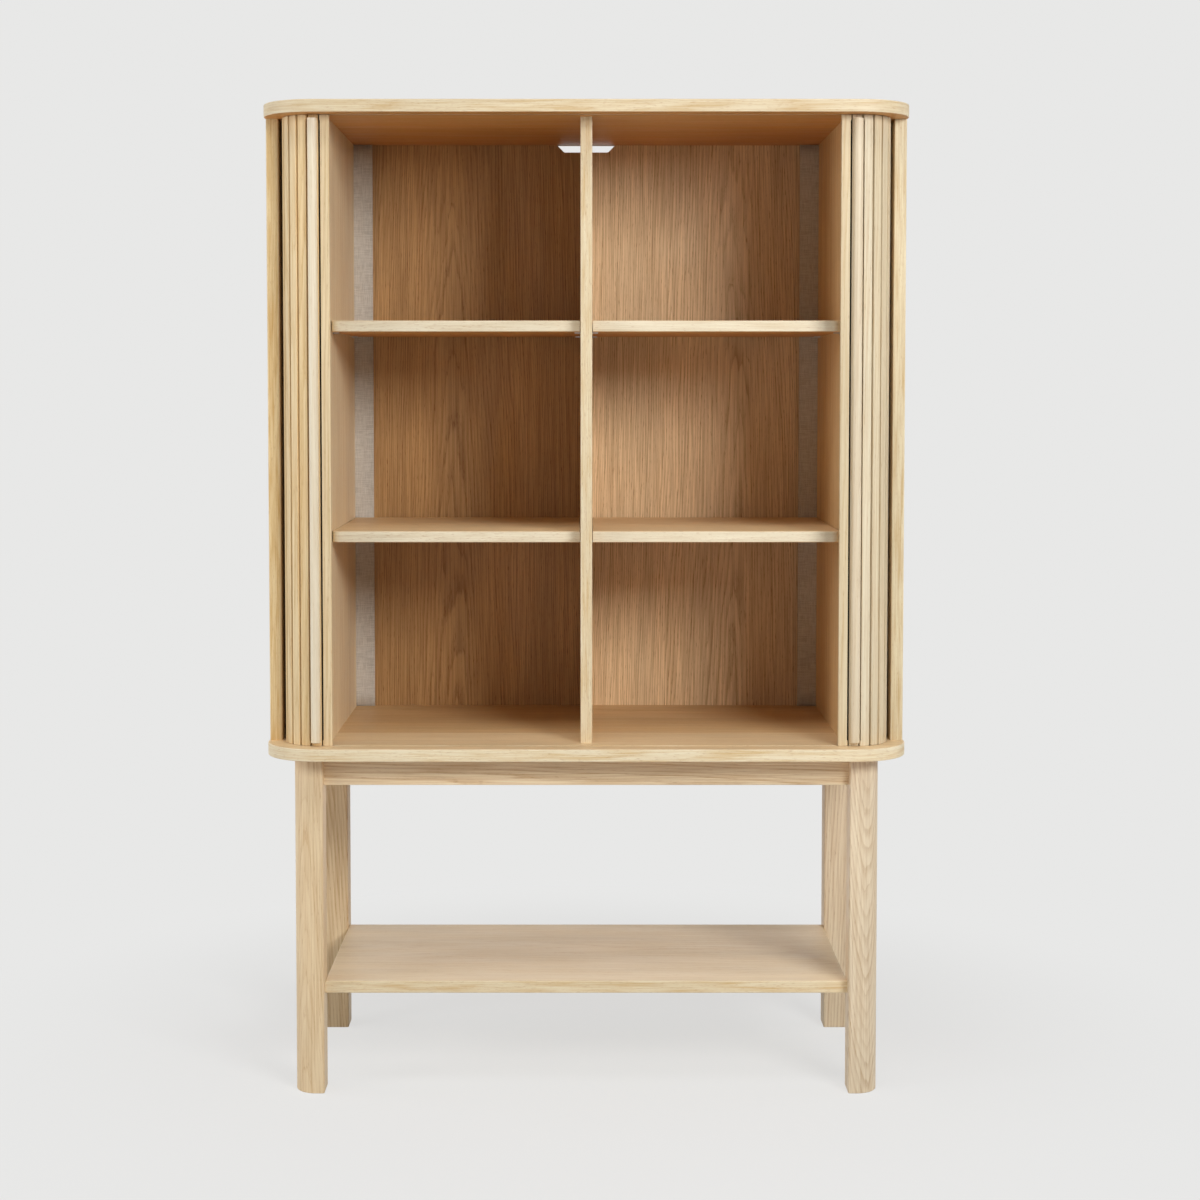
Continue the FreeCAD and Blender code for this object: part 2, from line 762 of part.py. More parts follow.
def tongue_outline():
    """Section of the tongue that runs in the track."""
    half, thick = "tongue_width / 2", "tongue_thickness / 2"
    middle = "-track_radius"
    return [
        (f"-{half}", f"{middle} - {thick}"),
        (half, f"{middle} - {thick}"),
        (half, f"{middle} + {thick}"),
        (f"-{half}", f"{middle} + {thick}"),
    ]


def make_slat(name, x, y, turn, width="slat_width"):
    """One slat with a tongue at each end, placed by the centre that it turns about."""
    body = make_body(name)
    face = make_outline(body, f"{name}_face", slat_outline(width))
    slat = make_pad(body, f"{name}_slat", face, "slat_length")
    core = make_outline(body, f"{name}_core", tongue_outline(), lift="-tongue_length")
    tongue = make_pad(body, f"{name}_tongue", core, "slat_length + 2 * tongue_length")
    place(body, x, y, "slat_floor", turn)
    return body, [slat, tongue]


def relieve_edge(body, width, edge_sign):
    """Shave the edge beside the pull, short of both ends, so that fingers reach behind the pull."""
    name = f"{body.Name}_relief"
    edge = f"{width} / 2"
    near, far = f"{edge_sign} * ({edge} - finger_relief)", f"{edge_sign} * ({edge} + finger_relief)"
    front, rear = "-(canvas_radius + slat_thickness + slat_bevel)", "-(canvas_radius - slat_bevel)"
    corners = [(near, front), (far, front), (far, rear), (near, rear)]
    uncut_volume = body.Tip.Shape.Volume
    sketch = make_outline(body, f"{name}_outline", corners, lift="finger_relief_end")
    pocket = body.newObject("PartDesign::Pocket", name)
    pocket.Profile = sketch
    pocket.Reversed = True
    bind(pocket, "Length", "slat_length - 2 * finger_relief_end")
    doc.recompute()
    if not pocket.Shape.Volume < uncut_volume:
        raise RuntimeError(f"{name} cut nothing")


def repeat(body, features, kind, count, step, sign):
    """Repeat the slat along the local X axis or round the local Z axis."""
    axis_role = {"Linear": "X_Axis", "Polar": "Z_Axis"}[kind]
    axis = next(item for item in body.Origin.OriginFeatures if item.Role == axis_role)
    pattern = body.newObject(f"PartDesign::{kind}Pattern", f"{body.Name}_pattern")
    pattern.Originals = features
    if kind == "Linear":
        pattern.Direction = (axis, [""])
        bind(pattern, "Length", f"({count} - 1) * {step}")
    else:
        pattern.Axis = (axis, [""])
        bind(pattern, "Angle", f"({count} - 1) * {step}")
    bind(pattern, "Occurrences", count)
    pattern.Reversed = sign < 0
    body.Tip = pattern
    doc.recompute()


def make_slats(side, sign):
    """The slats of one door on the four stretches of track behind its leading edge."""
    x = f"{sign} * arc_centre"
    finger_turn = f"{sign} * (finger_slat - {side}_front_run) / canvas_radius * 180 / pi"
    finger_size = "finger_slat_width"
    beside_pull = make_slat(f"finger_slat_{side}", x, "front_arc", finger_turn, finger_size)[0]
    relieve_edge(beside_pull, finger_size, -sign)
    stretches = [
        ("front_turn", x, "front_arc", f"{side}_front_turn_start / canvas_radius * 180 / pi", "Polar"),
        ("side_run", x, f"front_arc + {side}_side_run_start", "90", "Linear"),
        ("rear_turn", x, "rear_arc", f"90 + {side}_rear_turn_start / canvas_radius * 180 / pi", "Polar"),
        ("rear_run", f"{sign} * (arc_centre - {side}_rear_run_start)", "rear_arc", "180", "Linear"),
    ]
    for stretch, centre_x, centre_y, turn, kind in stretches:
        name = f"slats_{stretch}_{side}"
        body, features = make_slat(name, centre_x, centre_y, f"{sign} * ({turn})")
        step = "slat_angle" if kind == "Polar" else "slat_pitch"
        repeat(body, features, kind, f"{side}_{stretch}_count", step, sign)


def make_pull(side, sign):
    """Full-length half-round pull glued to the handle slat."""
    body = make_body(f"handle_pull_{side}")
    half = "pull_width / 2"
    root, nose = "0", "-pull_projection"
    points = [(f"-{half}", root), (f"-{half}", nose), (half, nose), (half, root)]
    sketch = make_outline(body, f"handle_pull_{side}_outline", points)
    make_pad(body, f"handle_pull_{side}_pad", sketch, "inner_height - 2 * pull_end_gap")
    half_width, projection = value("pull_width / 2"), value("pull_projection")
    nose_edges = upright_at((-half_width, -projection), (half_width, -projection))
    round_edges(body, f"handle_pull_{side}_nose", nose_edges, "(pull_width - pull_nose_flat) / 2")
    middle = f"{side}_door_edge + handle_start + handle_slat_width / 2 + pull_shift"
    place(body, f"{sign} * ({middle})", "front_edge + door_setback", "bay_floor + pull_end_gap")


def make_lead(side, sign):
    """The leading edge of a door: end stile, handle slat, pull, and the canvas behind them."""
    edge = f"{side}_door_edge"
    stile_x = f"{sign} * ({edge} + stile_width / 2)"
    stile = make_slat(f"lead_stile_{side}", stile_x, "front_arc", "0", "stile_width")[0]
    relieve_edge(stile, "stile_width", sign)
    handle_x = f"{sign} * ({edge} + handle_start + handle_slat_width / 2)"
    make_slat(f"handle_slat_{side}", handle_x, "front_arc", "0", "handle_slat_width")
    make_pull(side, sign)
    ends = [f"{sign} * ({edge} + canvas_edge)", f"{sign} * ({edge} + lead_length - canvas_edge)"]
    canvas_x = ends if sign > 0 else ends[::-1]
    face = "front_arc - canvas_radius + canvas_gap"
    make_board(f"canvas_lead_{side}", canvas_x, (face, f"{face} + canvas_thickness"), CANVAS_HEIGHT)


def make_canvas(side, sign):
    """The canvas that the other slats are glued to, on the inside of the track."""
    middle = "-" if sign < 0 else ""
    arc_x = f"{middle}arc_centre"
    radii = ("canvas_radius - canvas_gap - canvas_thickness", "canvas_radius - canvas_gap")
    first_edge = f"lead_length + handle_gap - {side}_front_run"
    start = f"({first_edge}) / canvas_radius * 180 / pi"
    front_turn = f"270 + {start}" if sign > 0 else "180"
    pieces = [
        make_ring_quarter(
            f"canvas_front_{side}", arc_x, "front_arc", CANVAS_HEIGHT, radii, front_turn, f"90 - ({start})"
        ),
        make_ring_quarter(
            f"canvas_rear_{side}", arc_x, "rear_arc", CANVAS_HEIGHT, radii, "0" if sign > 0 else "90", "90"
        ),
    ]
    near, far = (f"{sign} * (arc_centre + {radius})" for radius in radii)
    side_x = (near, far) if sign > 0 else (far, near)
    pieces.append(make_box(f"canvas_side_{side}", side_x, ("front_arc", "rear_arc"), CANVAS_HEIGHT))
    rear_ends = [f"{middle}door_rear_edge", f"{middle}arc_centre"]
    rear_x = rear_ends if sign > 0 else rear_ends[::-1]
    rear_y = (f"rear_arc + {radii[0]}", f"rear_arc + {radii[1]}")
    pieces.append(make_box(f"canvas_end_{side}", rear_x, rear_y, CANVAS_HEIGHT))
    return make_group(f"canvas_{side}", pieces, "Part::MultiFuse")


for side, sign in SIDES:
    make_slats(side, sign)
    make_lead(side, sign)
    make_canvas(side, sign)


# ---------------------------------------------------------------- leg frame

frame_holes = make_group("leg_holes", [apron_holes, shelf_dowel_holes])


def make_leg(name, sign_x, sign_y):
    """Square leg with a large radius on its outer corner."""
    x = ("leg_inner", "leg_outer") if sign_x > 0 else ("-leg_outer", "-leg_inner")
    y = ("leg_front", "leg_front + leg_width") if sign_y < 0 else ("leg_rear - leg_width", "leg_rear")
    uncut = make_board(f"{name}_uncut", x, y, ("0", "leg_height"))
    width = value("leg_width")
    spots = [(0, 0), (width, 0), (width, width), (0, width)]
    outer = (width if sign_x > 0 else 0, 0 if sign_y < 0 else width)
    others = [spot for spot in spots if spot != outer]
    round_edges(uncut, f"{name}_outer_corner", upright_at(outer), "leg_corner_radius")
    round_edges(uncut, f"{name}_corners", upright_at(*others), "leg_edge_round")
    round_edges(uncut, f"{name}_foot", level_at(0), "edge_round")
    return make_cut(name, uncut, frame_holes)


for side, sign in SIDES:
    make_leg(f"leg_front_{side}", sign, -1)
    make_leg(f"leg_rear_{side}", sign, 1)

APRON_HEIGHT = ("apron_floor", "leg_height")
ACROSS = ("-leg_inner", "leg_inner")
front_apron_y = ("front_apron_face", "front_apron_face + apron_thickness")
rear_apron_y = ("rear_apron_face - apron_thickness", "rear_apron_face")


def make_apron(name, x, y):
    """Rail under the bottom panel between two legs, its lower edges broken."""
    uncut = make_board(f"{name}_uncut", x, y, APRON_HEIGHT)
    round_edges(uncut, f"{name}_edges", level_at(0), "edge_round")
    return make_cut(name, uncut, apron_holes)


make_apron("front_apron", ACROSS, front_apron_y)
make_apron("rear_apron", ACROSS, rear_apron_y)
for side, sign in SIDES:
    outer, inner = f"{sign} * side_apron_face", f"{sign} * (side_apron_face - apron_thickness)"
    apron_x = (inner, outer) if sign > 0 else (outer, inner)
    make_apron(f"side_apron_{side}", apron_x, ("leg_front + leg_width", "leg_rear - leg_width"))

lower_y = ("lower_shelf_front", "lower_shelf_rear")
lower_z = ("lower_shelf_top - lower_shelf_thickness", "lower_shelf_top")
lower_uncut = make_board("lower_shelf_uncut", ACROSS, lower_y, lower_z)
round_board(lower_uncut)
make_cut("lower_shelf", lower_uncut, shelf_dowel_holes)


# ---------------------------------------------------------------- check and write

NODES = ["top_panel", "bottom_panel", "centre_divider", "back_panel", "shelf_pins"]
NODES += ["front_apron", "rear_apron", "lower_shelf", "corner_braces", "base_screws"]
NODES += ["carcass_dowels", "apron_dowels", "lower_shelf_dowels"]
for side, sign in SIDES:
    NODES += [f"side_panel_{side}", f"pocket_liner_{side}", f"side_apron_{side}"]
    NODES += [f"shelf_lower_{side}", f"shelf_upper_{side}"]
    NODES += [f"leg_front_{side}", f"leg_rear_{side}"]
    NODES += [f"lead_stile_{side}", f"handle_slat_{side}", f"handle_pull_{side}", f"canvas_lead_{side}"]
    NODES += [f"finger_slat_{side}"]
    NODES += [f"slats_{stretch}_{side}" for stretch in ("front_turn", "side_run", "rear_turn", "rear_run")]
    NODES += [f"canvas_{side}"]


def write_parts():
    """Stop if anything failed to build, then write one STEP file for each node."""
    doc.recompute()
    for thing in doc.Objects:
        if "Invalid" in thing.State or "Error" in thing.State:
            raise RuntimeError(f"{thing.Label} did not build: {thing.State}")
    os.makedirs("parts", exist_ok=True)
    for name in NODES:
        shape = doc.getObject(name).Shape
        if shape.isNull() or not shape.isValid() or not shape.Solids:
            raise RuntimeError(f"{name} has no sound shape")
        shape.exportStep(f"parts/{name}.step")
        print(f"{name}: {len(shape.Solids)} solids, {shape.Volume / 1000:.1f} cm3")


write_parts()
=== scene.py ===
import math

import bpy
import numpy as np
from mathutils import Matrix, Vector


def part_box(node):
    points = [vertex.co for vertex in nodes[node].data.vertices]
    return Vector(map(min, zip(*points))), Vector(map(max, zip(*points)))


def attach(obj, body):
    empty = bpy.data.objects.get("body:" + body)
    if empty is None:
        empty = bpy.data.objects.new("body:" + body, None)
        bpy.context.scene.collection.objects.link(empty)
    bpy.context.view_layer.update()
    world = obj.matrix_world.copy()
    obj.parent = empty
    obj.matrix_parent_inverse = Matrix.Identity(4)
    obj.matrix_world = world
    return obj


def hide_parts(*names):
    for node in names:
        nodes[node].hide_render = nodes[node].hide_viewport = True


# A pocket door cabinet in oak, put together here in the order of the bench: leg frame, carcass, back,
# shelves, tambour doors, canvas. Metres, +Z up, the front faces -Y, and the origin is on the floor.

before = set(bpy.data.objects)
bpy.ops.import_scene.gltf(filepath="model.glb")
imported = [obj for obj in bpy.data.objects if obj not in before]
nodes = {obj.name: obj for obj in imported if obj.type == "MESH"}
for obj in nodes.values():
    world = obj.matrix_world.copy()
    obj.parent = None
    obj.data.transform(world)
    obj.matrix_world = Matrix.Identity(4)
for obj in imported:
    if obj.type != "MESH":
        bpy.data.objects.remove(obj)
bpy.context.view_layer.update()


# ---------------------------------------------------------------- legs
# Four solid oak legs, square in section with one large radius on the outer corner. They are doweled
# to the aprons and lacquered clear, so rings, rays and open pores all show. The front right one is
# cut close to its tree's heart, so its front has arched figure, and the others are streaked.


def add_node(tree, kind, inputs=None, **settings):
    """A shader node with its settings; its inputs are numbers, colours or other nodes' outputs."""
    node = tree.nodes.new(kind)
    for key, setting in settings.items():
        setattr(node, key, setting)
    for key, source in (inputs or {}).items():
        if isinstance(source, bpy.types.NodeSocket):
            tree.links.new(source, node.inputs[key])
        else:
            node.inputs[key].default_value = source
    return node


def reckon(tree, operation, *values):
    """The output of one sum on the pattern, such as ADD or MULTIPLY."""
    return add_node(tree, "ShaderNodeMath", dict(enumerate(values)), operation=operation).outputs[0]


def reckon_vector(tree, operation, first, second):
    """The output of one sum on two places or colours, part by part."""
    return add_node(tree, "ShaderNodeVectorMath", {0: first, 1: second}, operation=operation).outputs[0]


def split(tree, vector):
    """The X, Y and Z parts of a place or a direction."""
    return add_node(tree, "ShaderNodeSeparateXYZ", {0: vector}).outputs


def draw_lot(tree, number):
    """A random Value and Color that are always the same for the same whole number."""
    return add_node(tree, "ShaderNodeTexWhiteNoise", {"W": number}, noise_dimensions="1D").outputs


def scale_between(tree, source, low, high, to_low=0.0, to_high=1.0):
    """The pattern stretched smoothly from its own low and high to new ones, and held there."""
    sizes = {"Value": source, "From Min": low, "From Max": high, "To Min": to_low, "To Max": to_high}
    node = add_node(tree, "ShaderNodeMapRange", sizes, interpolation_type="SMOOTHSTEP", clamp=True)
    return node.outputs["Result"]


def tint(tree, share, first, second, blend_type="MIX"):
    """Two colours mixed, or multiplied, by a share from 0 to 1."""
    mixer = add_node(tree, "ShaderNodeMix", data_type="RGBA", blend_type=blend_type)
    for index, source in ((0, share), (6, first), (7, second)):
        if isinstance(source, bpy.types.NodeSocket):
            tree.links.new(source, mixer.inputs[index])
        else:
            mixer.inputs[index].default_value = source
    return mixer.outputs[2]


def grain_noise(tree, place, grain, width, length, detail=2.0):
    """Noise from 0 to 1 whose blobs are width metres across the grain and length metres along it."""
    stretch = [1 / (length if axis in grain else width) for axis in "XYZ"]
    inputs = {"Vector": reckon_vector(tree, "MULTIPLY", place, stretch), "Scale": 1.0, "Detail": detail}
    return add_node(tree, "ShaderNodeTexNoise", inputs).outputs["Fac"]


def marks(tree, place, grain, size, detail, edge):
    """Soft-edged marks, 0 between them and 1 on them.

    size is their width across the grain and their length along it. edge is how high the noise is
    where a mark begins and where it is full.
    """
    return scale_between(tree, grain_noise(tree, place, grain, *size, detail), *edge)


def new_finish(name):
    """A new material with its node tree and its shader."""
    material = bpy.data.materials.new(name)
    material.use_nodes = True
    return material, material.node_tree, material.node_tree.nodes["Principled BSDF"]


def emboss(tree, shader, height, strength, depth):
    """Press a pattern of heights from 0 to 1 into the surface, to a depth in metres."""
    bump = add_node(tree, "ShaderNodeBump", {"Height": height, "Strength": strength, "Distance": depth})
    tree.links.new(bump.outputs[0], shader.inputs["Normal"])


def facing(tree):
    """The X, Y and Z parts of the direction in which the surface faces."""
    return split(tree, add_node(tree, "ShaderNodeNewGeometry").outputs["Normal"])


SPRING_END, SPRING_START = 0.62, 0.88
WEAKEST_YEAR = 0.35


def spring_band(tree, place, grain, along, across, ring, lean, wander):
    """How deep the spring wood is at a point, from 0 to 1.

    The distance from the tree's heart, plus a lean along the grain, a slow wander and a quick small
    one, is divided by the ring width. The whole part is the year, which has a strength of its own.
    The remainder is how far through the year's growth the point is: the band is full at the start of
    the year, fades out by SPRING_END and comes back from SPRING_START on.
    """
    squares = [reckon(tree, "MULTIPLY", part, part) for part in across]
    distance = reckon(tree, "SQRT", reckon(tree, "ADD", *squares))
    distance = reckon(tree, "MULTIPLY_ADD", along, lean, distance)
    for width, length, reach in ((0.11, 0.9, 4 * wander), (0.012, 0.16, 0.7 * wander)):
        drift = reckon(tree, "SUBTRACT", grain_noise(tree, place, grain, width, length), 0.5)
        distance = reckon(tree, "MULTIPLY_ADD", drift, reach, distance)
    years = reckon(tree, "DIVIDE", distance, ring)
    year = draw_lot(tree, reckon(tree, "FLOOR", years))["Value"]
    season = reckon(tree, "FRACT", years)
    falling = scale_between(tree, season, 0.0, SPRING_END, 1.0, 0.0)
    rising = scale_between(tree, season, SPRING_START, 1.0)
    strength = scale_between(tree, year, 0.0, 1.0, WEAKEST_YEAR, 1.0)
    return reckon(tree, "MULTIPLY", reckon(tree, "MAXIMUM", falling, rising), strength)


EDGE_STRIP = (0.85, 0.73, 0.51), (0.68, 0.475, 0.23)
# Pale colour of the rounded arrises: wear and a painted highlight.
WORN_ARRIS_HIGHLIGHT = (0.87, 0.76, 0.55)
# Pale hairline on a veneer joint: a painted highlight.
VENEER_JOINT_HIGHLIGHT = (0.87, 0.70, 0.46)
GREEN_POWER, BLUE_POWER = 1.6, 2.6


def lip_edges(tree, place, board, colour, lip, pore_colour, streak):
    """A veneered board's colour with a solid edge strip where it faces sideways, and pale rounded arrises.

    The strip is bent round the board, so its streaks, broad patches and pores run along both of the
    board's long axes. How far a face is turned from the board's flat tells strip, arris and veneer
    apart. The arrises' pale colour is partly wear, least on the dark streaks, and partly a painted highlight.
    """
    slope = reckon(tree, "ABSOLUTE", facing(tree)[board])
    bent = "XYZ".replace(board, "")
    lip_streak = marks(tree, place, bent, (0.0016, 0.07), 4.0, (0.36, 0.64))
    lip_patch = marks(tree, place, bent, (0.0075, 0.09), 2.0, (0.40, 0.72))
    lip_dash = marks(tree, place, bent, (0.0009, 0.009), 2.0, (0.58, 0.70))
    lip_share = reckon(tree, "MULTIPLY_ADD", lip_streak, 0.45, reckon(tree, "MULTIPLY", lip_patch, 0.55))
    lip_colour = tint(tree, lip_share, (*lip[0], 1), (*lip[1], 1))
    lip_colour = tint(tree, reckon(tree, "MULTIPLY", lip_dash, 0.35), lip_colour, (*pore_colour, 1))
    colour = tint(tree, scale_between(tree, slope, 0.55, 0.75, 1.0, 0.0), colour, lip_colour)
    # The rounded arrises are painted pale: wear, and a painted highlight.
    broken = reckon(tree, "MULTIPLY", scale_between(tree, slope, 0.12, 0.35),
                    scale_between(tree, slope, 0.90, 0.99, 1.0, 0.0))
    wear_and_highlight = reckon(tree, "MULTIPLY", broken, scale_between(tree, streak, 0.0, 1.0, 0.55, 0.20))
    return tint(tree, wear_and_highlight, colour, (*WORN_ARRIS_HIGHLIGHT, 1))


def oak(name, grain, heart, pale, deep, ring=0.0042, lean=0.03, wander=0.007, figure=0.5, pores=0.5,
        tone=0.10, streaks=0.45, board=None, lip=EDGE_STRIP, under=None, leaf=None, count=None,
        spread=0.07, rear_tone=None, rough=0.46):
    """Clear-lacquered oak, patterned through its thickness.

    heart is a point on the line of the tree's heart, which runs along the grain. The porous spring
    band is deep and the summer wood is pale. Where a face passes near the heart this gives arched
    figure, and further off straight streaks. Pores are short dark dashes that lie thickest in the
    spring band, and rays are small pale flecks. figure, streaks and pores are the strengths of bands,
    streaks and pores, and tone is that of the broad shade.

    board names the axis of a veneered board's thickness: the faces square to it have an edge strip.
    under tints the faces that look down darker and browner, as painted shade. leaf is the width of a
    leaf of veneer: the distance starts afresh at every joint. count is a function that gives the number
    of a slat, so that each slat is sawn from another place. Each leaf and slat has its own tone, within
    spread of the middle, and a darker one is also browner: its green and blue go with powers of the tone.
    rear_tone, from 0 to 1, is the least tone of the leaves on the face that looks to the rear, which is
    veneered on its own.
    """
    material, tree, shader = new_finish(name)
    place = add_node(tree, "ShaderNodeTexCoord").outputs["Object"]
    piece_tone = None
    if count:
        slat_lot = draw_lot(tree, count(tree, place))
        piece_tone = slat_lot["Value"]
        jump = reckon_vector(tree, "MULTIPLY", slat_lot["Color"], (0.05, 0.05, 3.0))
        place = reckon_vector(tree, "ADD", place, jump)
    place = reckon_vector(tree, "SUBTRACT", place, heart)
    parts = split(tree, place)
    across = [parts[axis] for axis in "XYZ" if axis != grain]
    if leaf:
        leaves = reckon(tree, "ADD", reckon(tree, "DIVIDE", across[0], leaf), 0.5)
        piece_tone = draw_lot(tree, reckon(tree, "FLOOR", leaves))["Value"]
        across[0] = reckon(tree, "WRAP", across[0], leaf / 2, -leaf / 2)

    band = spring_band(tree, place, grain, parts[grain], across, ring, lean, wander)
    streak = marks(tree, place, grain, (0.0022, 0.11), 4.0, (0.34, 0.66))
    dash = marks(tree, place, grain, (0.0011, 0.013), 2.0, (0.56, 0.70))
    dash = reckon(tree, "MULTIPLY", dash, scale_between(tree, band, 0.0, 0.7, 0.25, 1.0))
    ray = marks(tree, place, grain, (0.004, 0.018), 1.0, (0.66, 0.78))

    share = reckon(tree, "MULTIPLY_ADD", streak, streaks, reckon(tree, "MULTIPLY", band, figure))
    colour = tint(tree, reckon(tree, "MINIMUM", share, 1.0), (*pale, 1), (*deep, 1))
    colour = tint(tree, reckon(tree, "MULTIPLY", ray, 0.10), colour, (*pale, 1))
    pore_colour = (0.68 * deep[0], 0.50 * deep[1], 0.32 * deep[2])
    colour = tint(tree, reckon(tree, "MULTIPLY", dash, pores), colour, (*pore_colour, 1))
    # The pale hairline on each joint is a painted highlight.
    if leaf:
        from_middle = reckon(tree, "ABSOLUTE", across[0])
        joint = scale_between(tree, from_middle, leaf / 2 - 0.0009, leaf / 2 - 0.0004, 0.0, 0.6)
        colour = tint(tree, joint, colour, (*VENEER_JOINT_HIGHLIGHT, 1))
    # Painted shade on the faces that look down.
    if under:
        shaded_below = scale_between(tree, facing(tree)["Z"], -0.9, -0.6, 1.0, 0.0)
        colour = tint(tree, shaded_below, colour, (*under, 1), "MULTIPLY")
    if board:
        colour = lip_edges(tree, place, board, colour, lip, pore_colour, streak)
    if rear_tone:
        rear = scale_between(tree, facing(tree)["Y"], 0.5, 0.9, 0.0, rear_tone)
        piece_tone = reckon(tree, "MAXIMUM", piece_tone, rear)
    if piece_tone:
        own = scale_between(tree, piece_tone, 0.0, 1.0, 1 - spread, 1 + spread)
        green, blue = (reckon(tree, "POWER", own, power) for power in (GREEN_POWER, BLUE_POWER))
        browning = add_node(tree, "ShaderNodeCombineXYZ", {0: own, 1: green, 2: blue}).outputs[0]
        colour = reckon_vector(tree, "MULTIPLY", colour, browning)
    broad = grain_noise(tree, place, grain, 0.07, 0.55, 3.0)
    shade = scale_between(tree, broad, 0.25, 0.75, 1 - tone, 1 + tone)
    colour = add_node(tree, "ShaderNodeVectorMath", {0: colour, "Scale": shade}, operation="SCALE").outputs[0]
    tree.links.new(colour, shader.inputs["Base Color"])

    cloud = grain_noise(tree, place, grain, 0.03, 0.2)
    dull = scale_between(tree, cloud, 0.3, 0.7, rough - 0.05, rough + 0.05)
    tree.links.new(reckon(tree, "MULTIPLY_ADD", dash, 0.22, dull), shader.inputs["Roughness"])
    shader.inputs["Specular IOR Level"].default_value = 0.42
    relief = reckon(tree, "MULTIPLY_ADD", dash, -1.0, reckon(tree, "MULTIPLY", band, -0.25))
    relief = reckon(tree, "MULTIPLY_ADD", streak, -0.18, relief)
    emboss(tree, shader, relief, 0.35, 0.00025)
    return material


def finish_piece(node, material):
    """Give a frame piece its finish."""
    slots = nodes[node].data.materials
    slots.clear()
    slots.append(material)


leg_colours = {
    "left": ((0.84, 0.665, 0.43), (0.58, 0.37, 0.175)),
    "right": ((0.87, 0.73, 0.53), (0.60, 0.42, 0.25)),
}
streaked_growth = {"ring": 0.0036, "lean": 0.045, "wander": 0.005}
arched_growth = {"ring": 0.0050, "lean": -0.16, "wander": 0.010}
leg_trees = {
    "leg_front_left": ((-0.47, -0.255, 0.10), 0.30, streaked_growth),
    "leg_front_right": ((0.425, -0.183, 1.30), 0.50, arched_growth),
    "leg_rear_left": ((-0.50, 0.26, 0.70), 0.55, streaked_growth),
    "leg_rear_right": ((0.52, 0.24, 2.10), 0.42, streaked_growth),
}
for leg, (leg_heart, leg_figure, growth) in leg_trees.items():
    leg_pale, leg_deep = leg_colours[leg.split("_")[-1]]
    leg_oak = oak(f"oak_{leg}", "Z", leg_heart, leg_pale, leg_deep, figure=leg_figure, pores=0.42, **growth)
    finish_piece(leg, leg_oak)


# ---------------------------------------------------------------- aprons and lower shelf
# Solid oak rails under the carcass, doweled into the legs, and a veneered shelf lipped with oak.
# The beech corner blocks behind the aprons take the screws that hold the carcass down.

SIDES = (("left", -1), ("right", 1))
RAIL_PALE, RAIL_DEEP = (0.95, 0.79, 0.545), (0.60, 0.375, 0.165)
rail_growth = {"ring": 0.0034, "lean": 0.02, "wander": 0.006}
for number, rail in enumerate(("front_apron", "rear_apron")):
    rail_heart = (0.3 - number, -0.21 + 0.4 * number, 0.47)
    rail_oak = oak(f"oak_{rail}", "X", rail_heart, RAIL_PALE, RAIL_DEEP, figure=0.45, pores=0.40, tone=0.14,
                   **rail_growth)
    finish_piece(rail, rail_oak)
for side, sign in SIDES:
    rail_heart = (sign * 0.46, sign * 0.4, 0.46)
    rail_oak = oak(f"oak_side_apron_{side}", "Y", rail_heart, RAIL_PALE, RAIL_DEEP, figure=0.65, pores=0.45,
                   tone=0.12, **rail_growth)
    finish_piece(f"side_apron_{side}", rail_oak)

low_shelf_oak = oak("oak_lower_shelf", "X", (0.2, 0.02, 0.11), (0.88, 0.73, 0.505), (0.74, 0.565, 0.345),
                    ring=0.0046, lean=0.012, wander=0.012, figure=0.35, pores=0.35, tone=0.06, board="Z")
finish_piece("lower_shelf", low_shelf_oak)


def beech(name):
    """Bare beech: pale and even, with short dark flecks along the grain."""
    material, tree, shader = new_finish(name)
    place = add_node(tree, "ShaderNodeTexCoord").outputs["Object"]
    fleck = marks(tree, place, "X", (0.0012, 0.005), 2.0, (0.58, 0.70))
    cloud = grain_noise(tree, place, "X", 0.02, 0.08, 3.0)
    colour = tint(tree, cloud, (0.80, 0.62, 0.43, 1), (0.70, 0.51, 0.33, 1))
    colour = tint(tree, reckon(tree, "MULTIPLY", fleck, 0.35), colour, (0.42, 0.27, 0.15, 1))
    tree.links.new(colour, shader.inputs["Base Color"])
    tree.links.new(scale_between(tree, cloud, 0.3, 0.7, 0.58, 0.70), shader.inputs["Roughness"])
    emboss(tree, shader, fleck, 0.2, 0.0001)
    return material


bare_beech = beech("bare_beech")
for beech_piece in ("corner_braces", "apron_dowels", "lower_shelf_dowels", "carcass_dowels"):
    finish_piece(beech_piece, bare_beech)


def nickel(name, rough):
    """Satin nickel: steel tumbled before plating, so its sheen is uneven and finely scratched."""
    material, tree, shader = new_finish(name)
    place = add_node(tree, "ShaderNodeTexCoord").outputs["Object"]
    cloud = grain_noise(tree, place, "X", 0.003, 0.003, 3.0)
    scratch = grain_noise(tree, place, "Y", 0.0002, 0.004, 1.0)
    colour = tint(tree, cloud, (0.66, 0.65, 0.62, 1), (0.52, 0.51, 0.49, 1))
    tree.links.new(colour, shader.inputs["Base Color"])
    dull = scale_between(tree, cloud, 0.3, 0.7, rough - 0.06, rough + 0.08)
    tree.links.new(dull, shader.inputs["Roughness"])
    shader.inputs["Metallic"].default_value = 1.0
    emboss(tree, shader, scratch, 0.15, 0.00005)
    return material


satin_nickel = nickel("satin_nickel", 0.34)
finish_piece("base_screws", satin_nickel)
